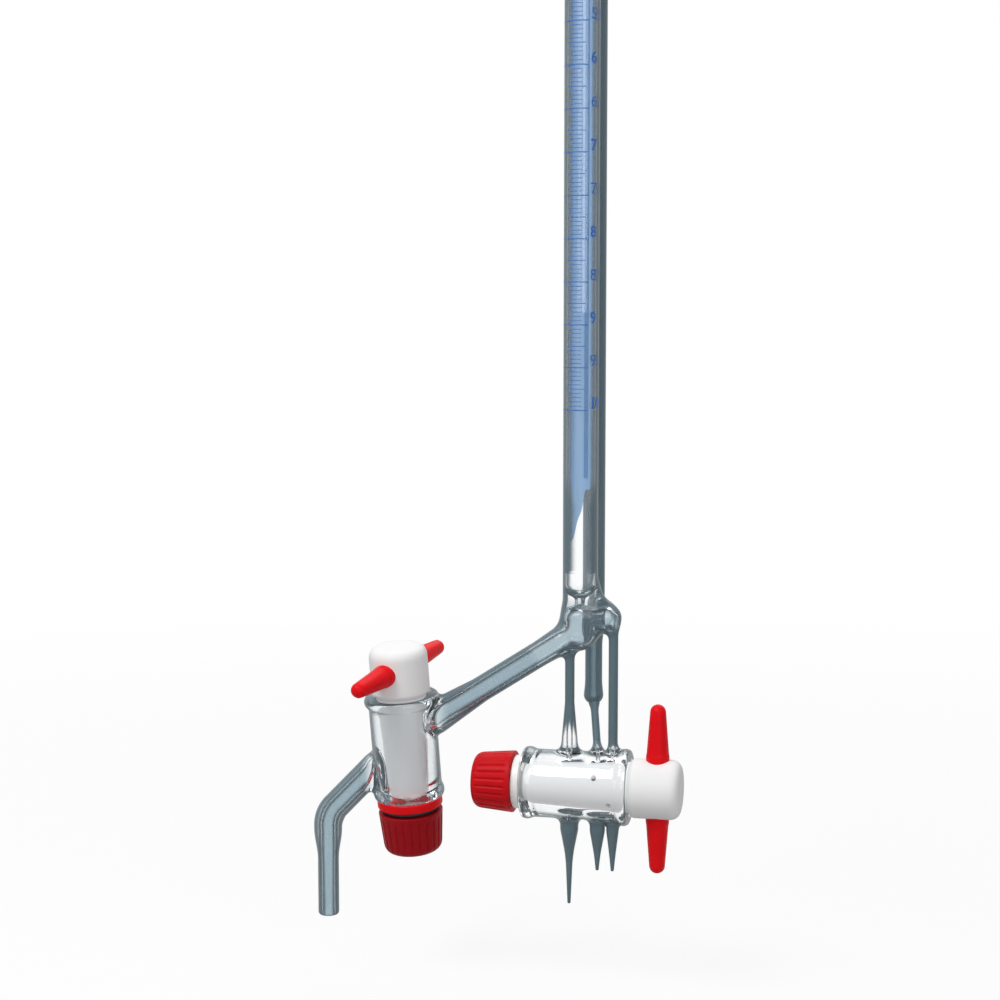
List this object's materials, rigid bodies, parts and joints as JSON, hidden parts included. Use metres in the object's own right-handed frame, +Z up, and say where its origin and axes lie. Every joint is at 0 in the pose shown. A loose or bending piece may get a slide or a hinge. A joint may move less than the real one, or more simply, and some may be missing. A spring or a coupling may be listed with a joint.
{
  "type": "automatic burette",
  "caption": "Glass automatic burette: graduated tube with an overflow bulb, a side arm from a filling stopcock with a bent hose nozzle, and a delivery stopcock over fine jets.",
  "frame": {"origin": "on the graduated tube's axis, at the lowest line of the scale, which is the height where a burette clamp holds it", "axes": "+Z up along the graduated tube; +X along the delivery stopcock's key, from its nut to its handle; the scale faces about -Y"},
  "size_m": [0.1044, 0.0449, 0.4055],
  "materials": {
    "clear_glass": "clear, polished, fire-finished",
    "opal_glass": "opal, glossy",
    "blue_glass": "solid blue, glossy",
    "ptfe": "waxy white, turned",
    "red_plastic": "moulded, semi-gloss",
    "black_rubber": "matt"
  },
  "bodies": {
    "glass": {"graduated_tube": "clear_glass", "opal_stripe": "opal_glass", "blue_stripe": "blue_glass", "zero_tip": "clear_glass", "overflow_bulb": "clear_glass", "vent_tube": "clear_glass", "return_tube": "clear_glass", "header_chamber": "clear_glass", "side_arm": "clear_glass", "titration_tube": "clear_glass", "drain_tube": "clear_glass", "purge_tube": "clear_glass", "delivery_barrel": "clear_glass", "titration_jet": "clear_glass", "drain_jet": "clear_glass", "purge_jet": "clear_glass", "fill_barrel": "clear_glass", "inlet_nozzle": "clear_glass"},
    "delivery_key": {"delivery_plug": "ptfe", "delivery_handle": "red_plastic", "delivery_washer": "ptfe", "delivery_seal": "black_rubber"},
    "delivery_nut": {"delivery_nut": "red_plastic"},
    "fill_key": {"fill_plug": "ptfe", "fill_handle": "red_plastic", "fill_washer": "red_plastic", "fill_seal": "black_rubber"},
    "fill_nut": {"fill_nut": "red_plastic"}
  },
  "joints": [
    {"name": "delivery_key_turn", "type": "hinge", "parent": "glass", "child": "delivery_key", "pos_m": [0.0138, 0, -0.1026], "axis": [1, 0, 0], "continuous": true},
    {"name": "delivery_nut_turn", "type": "hinge", "parent": "delivery_key", "child": "delivery_nut", "pos_m": [-0.02, 0, -0.1026], "axis": [1, 0, 0], "range_deg": [-180, 0]},
    {"name": "fill_key_turn", "type": "hinge", "parent": "glass", "child": "fill_key", "pos_m": [-0.05, -0.00154, -0.07959], "axis": [-0.0451, -0.1132, 0.9925], "continuous": true},
    {"name": "fill_nut_turn", "type": "hinge", "parent": "fill_key", "child": "fill_nut", "pos_m": [-0.04846, 0.00231, -0.11333], "axis": [-0.0451, -0.1132, 0.9925], "range_deg": [-180, 0]}
  ]
}
